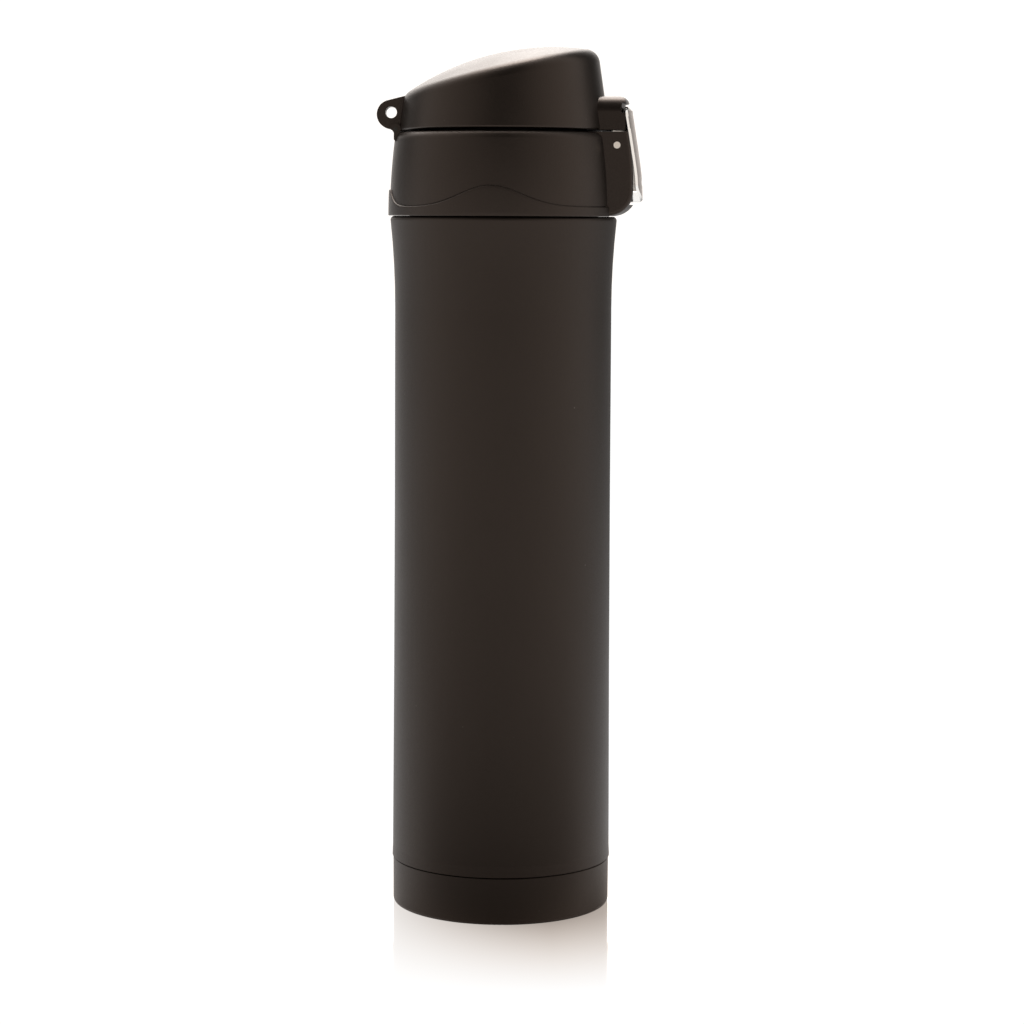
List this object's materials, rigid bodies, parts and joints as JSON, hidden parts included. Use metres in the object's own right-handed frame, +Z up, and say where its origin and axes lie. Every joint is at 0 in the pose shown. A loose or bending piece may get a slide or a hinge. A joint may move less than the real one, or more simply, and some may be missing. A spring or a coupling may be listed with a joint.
{
  "type": "vacuum flask",
  "caption": "Slim double-walled vacuum flask with a screw-on collar, a flip lid with a strap eye, and a sprung lever that releases the lid.",
  "frame": {"origin": "centre of the base, on the resting plane", "axes": "+Z up along the flask's axis, +X from the lid hinge to the latch"},
  "size_m": [0.0787, 0.0684, 0.2566],
  "materials": {
    "body_paint": "matte soft-touch black paint",
    "bare_steel": "bare 304 steel, lightly brushed",
    "seal_glass": "solder glass bead",
    "getter_metal": "dull sintered metal",
    "silicone": "translucent grey silicone",
    "inner_plastic": "black polypropylene",
    "collar_plastic": "fine-grained matte black",
    "lid_plastic": "fine-grained satin black",
    "lever_steel": "satin steel",
    "pin_steel": "bare steel",
    "spring_steel": "drawn spring wire"
  },
  "bodies": {
    "flask": {"outer_shell": "body_paint", "inner_vessel": "bare_steel", "outer_bottom": "bare_steel", "vacuum_seal": "seal_glass", "getter": "getter_metal", "base_cup": "body_paint"},
    "stopper_seal": {"neck_gasket": "silicone"},
    "closure": {"threaded_insert": "inner_plastic", "drinking_spout": "inner_plastic", "spout_gasket": "silicone", "collar_shell": "collar_plastic", "wave_trim_band": "collar_plastic", "hinge_pin": "pin_steel", "latch_pin": "pin_steel", "hinge_spring": "spring_steel", "latch_spring": "spring_steel"},
    "lid": {"lid_shell": "lid_plastic", "lid_liner": "inner_plastic", "lid_seal": "silicone"},
    "latch": {"latch_lever": "lever_steel", "latch_rocker": "lever_steel"}
  },
  "joints": [
    {"name": "closure_lift", "type": "slide", "parent": "flask", "child": "stopper_seal", "axis": [0, 0, 1], "range_m": [0, 0.00601]},
    {"name": "closure_turn", "type": "hinge", "parent": "stopper_seal", "child": "closure", "pos_m": [0, 0, 0.2165], "axis": [0, 0, 1], "range_deg": [0, 540]},
    {"name": "lid_hinge", "type": "hinge", "parent": "closure", "child": "lid", "pos_m": [-0.0319, 0, 0.2323], "axis": [0, -1, 0], "range_deg": [0, 85], "deforming": ["hinge_spring"]},
    {"name": "lever_rock", "type": "hinge", "parent": "closure", "child": "latch", "pos_m": [0.0329, 0, 0.22775], "axis": [0, 1, 0], "range_deg": [0, 5], "deforming": ["latch_spring"]}
  ],
  "couplings": [
    {"joint": "closure_lift", "follows": "closure_turn", "m_per_rad": 0.00063662}
  ]
}
